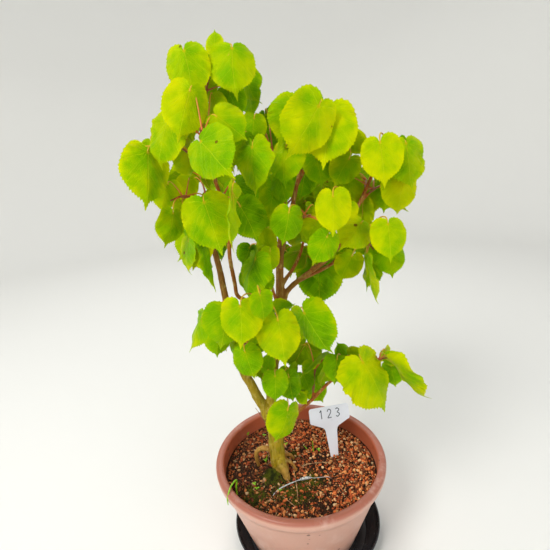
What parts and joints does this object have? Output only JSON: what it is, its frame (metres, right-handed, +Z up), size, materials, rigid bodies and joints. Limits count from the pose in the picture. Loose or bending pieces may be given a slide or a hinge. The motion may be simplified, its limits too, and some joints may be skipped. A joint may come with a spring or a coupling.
{
  "type": "small-leaved lime bonsai",
  "caption": "Young small-leaved lime tree grown as a bonsai in a round terracotta-coloured plastic pot with a rolled rim, on a black saucer, with a blank T-shaped plant label.",
  "frame": {"origin": "on the pot's own axis, in the plane that the saucer stands on", "axes": "+Z up along the pot's axis, -Y towards the side that the picture shows, +X to its right"},
  "size_m": [0.3246, 0.2781, 0.6547],
  "materials": {
    "leaf": "thin soft satin leaf, bright yellow-green with paler veins, light shining through it",
    "bark": "matt bark, olive-brown and finely cracked on the trunk, red-brown and smooth on the young shoots",
    "pot_plastic": "faded terracotta-coloured moulded plastic, satin, with dust and faint streaks",
    "saucer_plastic": "black moulded plastic, low satin sheen, slightly dusty",
    "soil": "coarse granules of crushed brick, pumice and dark humus, dry and matt",
    "label_plastic": "white flexible plastic, satin, slightly soiled",
    "tie_wire": "thin grey wire, dull metallic",
    "moss": "low green moss, blades and seedlings on the soil, matt"
  },
  "bodies": {
    "root": {"saucer": "saucer_plastic", "pot": "pot_plastic", "soil": "soil", "trunk_and_limbs": "bark", "shoot_back_high": "leaf", "shoot_back_left_end": "leaf", "shoot_back_left_low": "leaf", "shoot_back_low": "leaf", "shoot_back_mid_left": "leaf", "shoot_back_mid_right": "leaf", "shoot_back_top": "leaf", "shoot_big_hanging": "leaf", "shoot_centre_front": "leaf", "shoot_centre_left": "leaf", "shoot_dark_end": "leaf", "shoot_front_heart": "leaf", "shoot_heart": "leaf", "shoot_inner_front": "leaf", "shoot_left_back": "leaf", "shoot_left_end": "leaf", "shoot_left_low": "leaf", "shoot_low_back": "leaf", "shoot_low_end": "leaf", "shoot_low_front": "leaf", "shoot_low_left": "leaf", "shoot_low_left_inner": "leaf", "shoot_low_mid": "leaf", "shoot_low_right_front": "leaf", "shoot_low_twig": "leaf", "shoot_mid_right": "leaf", "shoot_mid_top": "leaf", "shoot_middle": "leaf", "shoot_right_back": "leaf", "shoot_right_end": "leaf", "shoot_right_low": "leaf", "shoot_right_mid": "leaf", "shoot_right_under": "leaf", "shoot_top_mid": "leaf", "shoot_top_side": "leaf", "shoot_top_up": "leaf", "shoot_trunk_front": "leaf", "plant_label": "label_plastic", "tie_wire": "tie_wire"}
  },
  "joints": []
}
